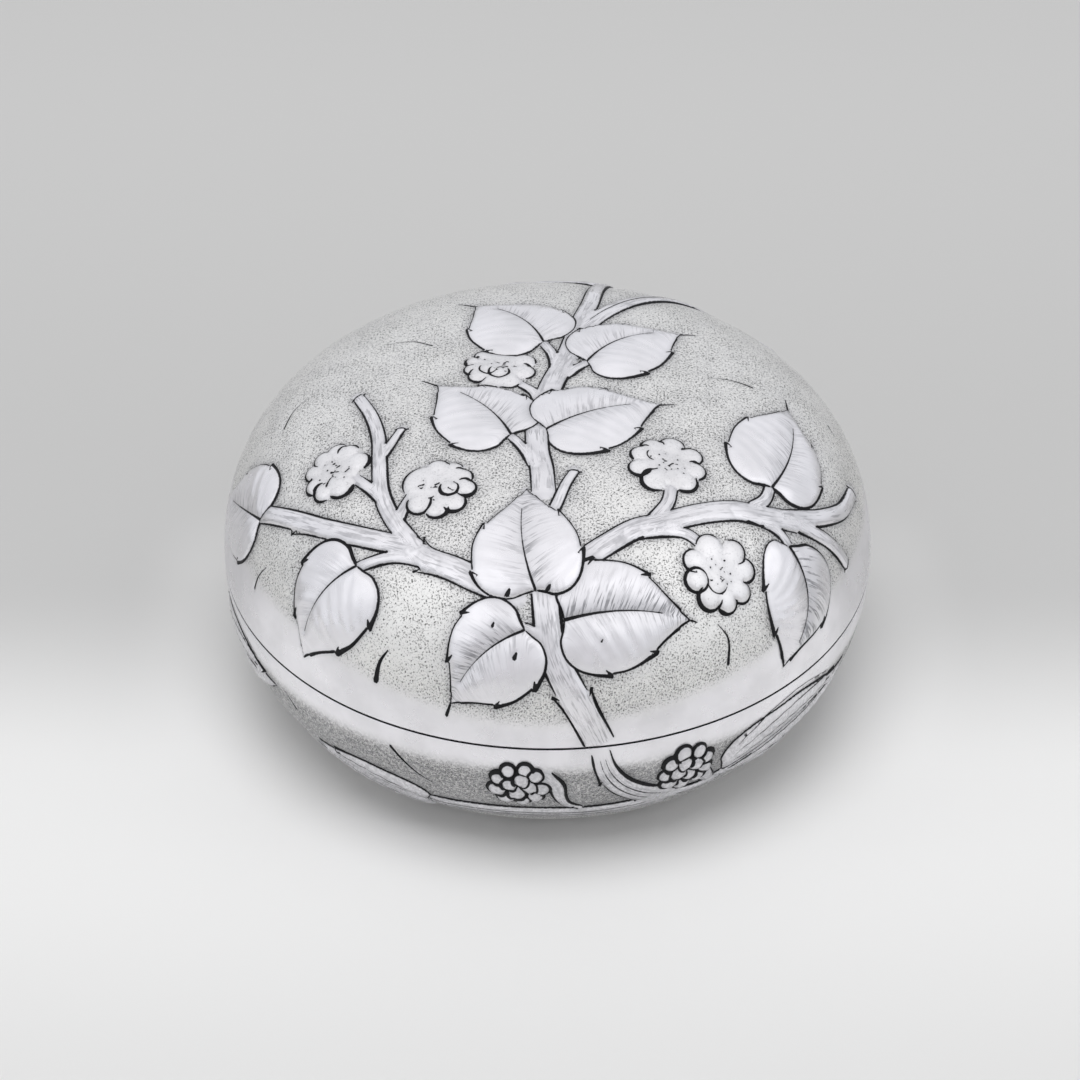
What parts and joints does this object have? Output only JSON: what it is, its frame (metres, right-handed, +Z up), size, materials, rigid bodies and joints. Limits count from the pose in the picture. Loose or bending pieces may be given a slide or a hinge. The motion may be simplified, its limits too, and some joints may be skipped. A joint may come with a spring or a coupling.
{
  "type": "round silver box",
  "caption": "Round silver box: a domed lid lifts off a full-bellied bowl over an upright collar, both chased with leaves and berries.",
  "frame": {"origin": "centre of the flat base on the surface that the box stands on", "axes": "+Z up, through the lid's crown; -Y towards the picture's viewer, +X to the viewer's right"},
  "size_m": [0.1204, 0.1204, 0.0678],
  "materials": {
    "chased_silver": "raised and chased sterling silver, matted ground, darkened lines",
    "plain_silver": "plain polished sterling silver, lightly worn"
  },
  "bodies": {
    "bowl": {"bowl": "chased_silver", "bowl_rim_ring": "plain_silver", "collar": "plain_silver"},
    "lid": {"lid": "chased_silver", "lid_rim_ring": "plain_silver"}
  },
  "joints": [
    {"name": "lid_lift", "type": "slide", "parent": "bowl", "child": "lid", "axis": [0, 0, 1], "range_m": [0, 0.06]}
  ]
}
